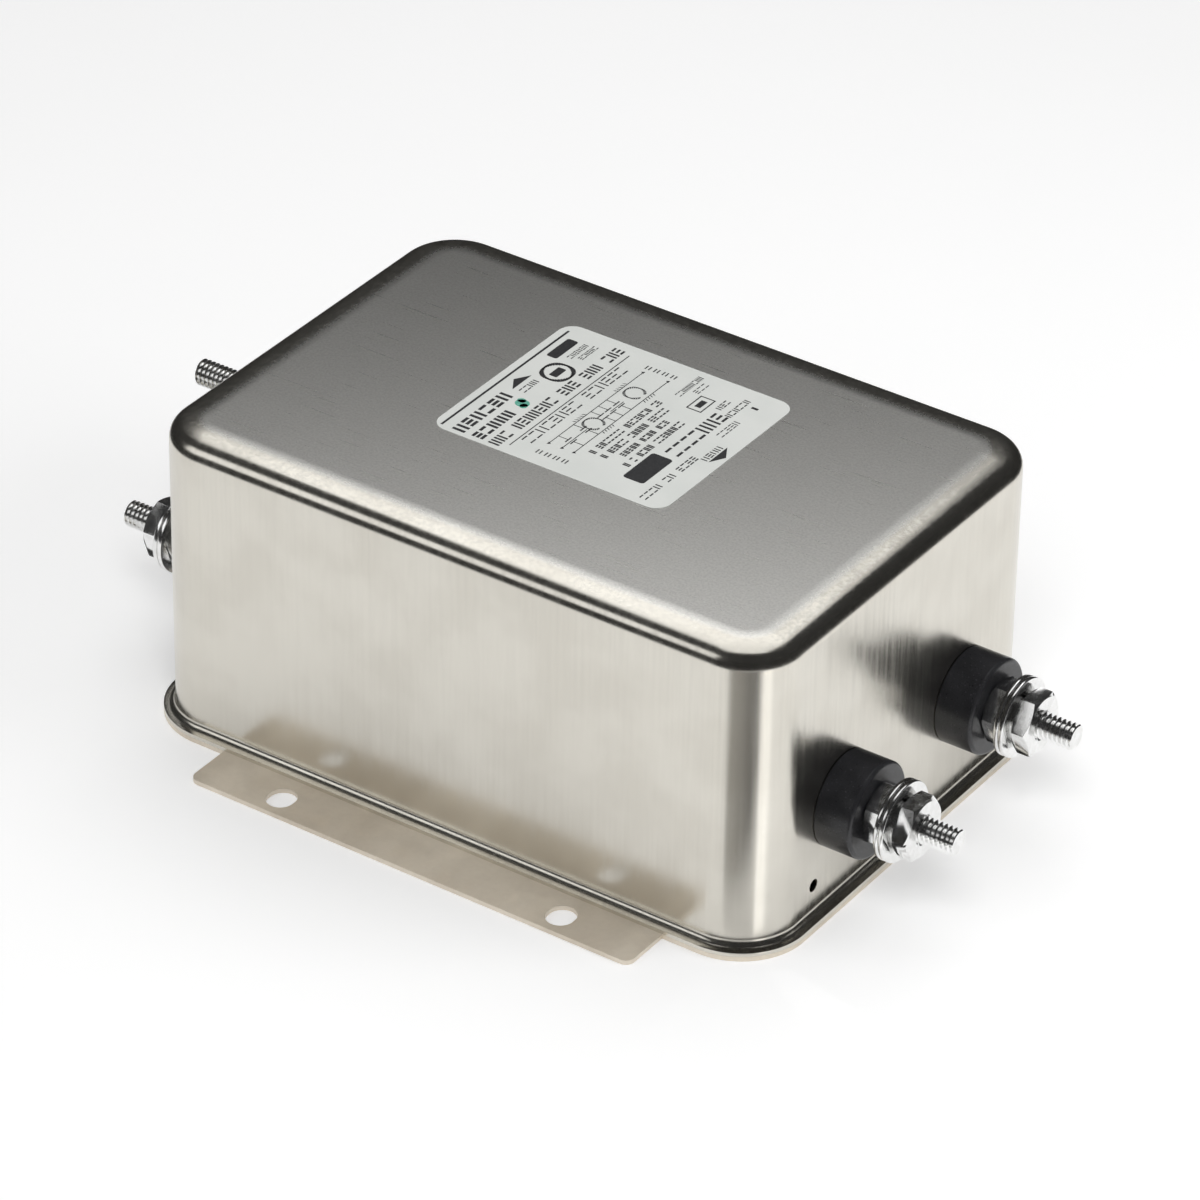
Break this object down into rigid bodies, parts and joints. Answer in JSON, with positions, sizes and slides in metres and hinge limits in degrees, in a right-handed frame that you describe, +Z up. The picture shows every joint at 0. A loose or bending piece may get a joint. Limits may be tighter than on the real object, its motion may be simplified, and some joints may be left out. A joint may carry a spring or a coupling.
{
  "type": "emi line filter",
  "caption": "Power line noise filter in a drawn steel can on a slotted base plate, with insulated threaded terminal studs at both ends and a ground stud at the line end.",
  "frame": {"origin": "centre of the underside of the base plate", "axes": "+X out of the load end wall, +Y across the can, +Z up through the labelled top"},
  "size_m": [0.147, 0.094, 0.0509],
  "materials": {
    "can_steel": "bright plated, drawn",
    "base_steel": "plated sheet",
    "label_film": "satin white label",
    "insulator_black": "moulded black",
    "zinc_hardware": "bright zinc plated",
    "inner_insulation": "moulded black",
    "tinned_lug": "tinned",
    "ferrite": "sintered dark grey",
    "enamelled_copper": "enamelled wire",
    "divider_fibre": "pressed fibre",
    "board_laminate": "glass laminate",
    "post_nylon": "moulded nylon",
    "x_capacitor_case": "moulded grey",
    "y_capacitor_case": "moulded blue",
    "resistor_body": "lacquered tan",
    "ground_insulation": "green sleeve",
    "sheet_fibre": "grey insulating sheet"
  },
  "bodies": {
    "root": {"case_can": "can_steel", "base_plate": "base_steel", "label": "label_film", "ground_lug": "tinned_lug", "ground_stud": "zinc_hardware", "jam_nuts": "zinc_hardware", "flat_washers": "zinc_hardware", "lock_washers": "zinc_hardware", "terminal_nuts": "zinc_hardware", "base_sheet": "sheet_fibre", "circuit_board": "board_laminate", "board_posts": "post_nylon", "bleed_resistor": "resistor_body", "ground_wire": "ground_insulation", "outer_insulator_line_1": "insulator_black", "inner_insulator_line_1": "inner_insulation", "solder_lug_line_1": "tinned_lug", "terminal_stud_line_1": "zinc_hardware", "winding_line_1": "enamelled_copper", "outer_insulator_line_2": "insulator_black", "inner_insulator_line_2": "inner_insulation", "solder_lug_line_2": "tinned_lug", "terminal_stud_line_2": "zinc_hardware", "winding_line_2": "enamelled_copper", "outer_insulator_load_1": "insulator_black", "inner_insulator_load_1": "inner_insulation", "solder_lug_load_1": "tinned_lug", "terminal_stud_load_1": "zinc_hardware", "winding_load_1": "enamelled_copper", "outer_insulator_load_2": "insulator_black", "inner_insulator_load_2": "inner_insulation", "solder_lug_load_2": "tinned_lug", "terminal_stud_load_2": "zinc_hardware", "winding_load_2": "enamelled_copper", "choke_core_line": "ferrite", "choke_divider_line": "divider_fibre", "choke_core_load": "ferrite", "choke_divider_load": "divider_fibre", "splice_1": "tinned_lug", "riser_pin_1": "tinned_lug", "x_capacitor_1": "x_capacitor_case", "y_capacitor_1": "y_capacitor_case", "splice_2": "tinned_lug", "riser_pin_2": "tinned_lug", "x_capacitor_2": "x_capacitor_case", "y_capacitor_2": "y_capacitor_case"}
  },
  "joints": []
}
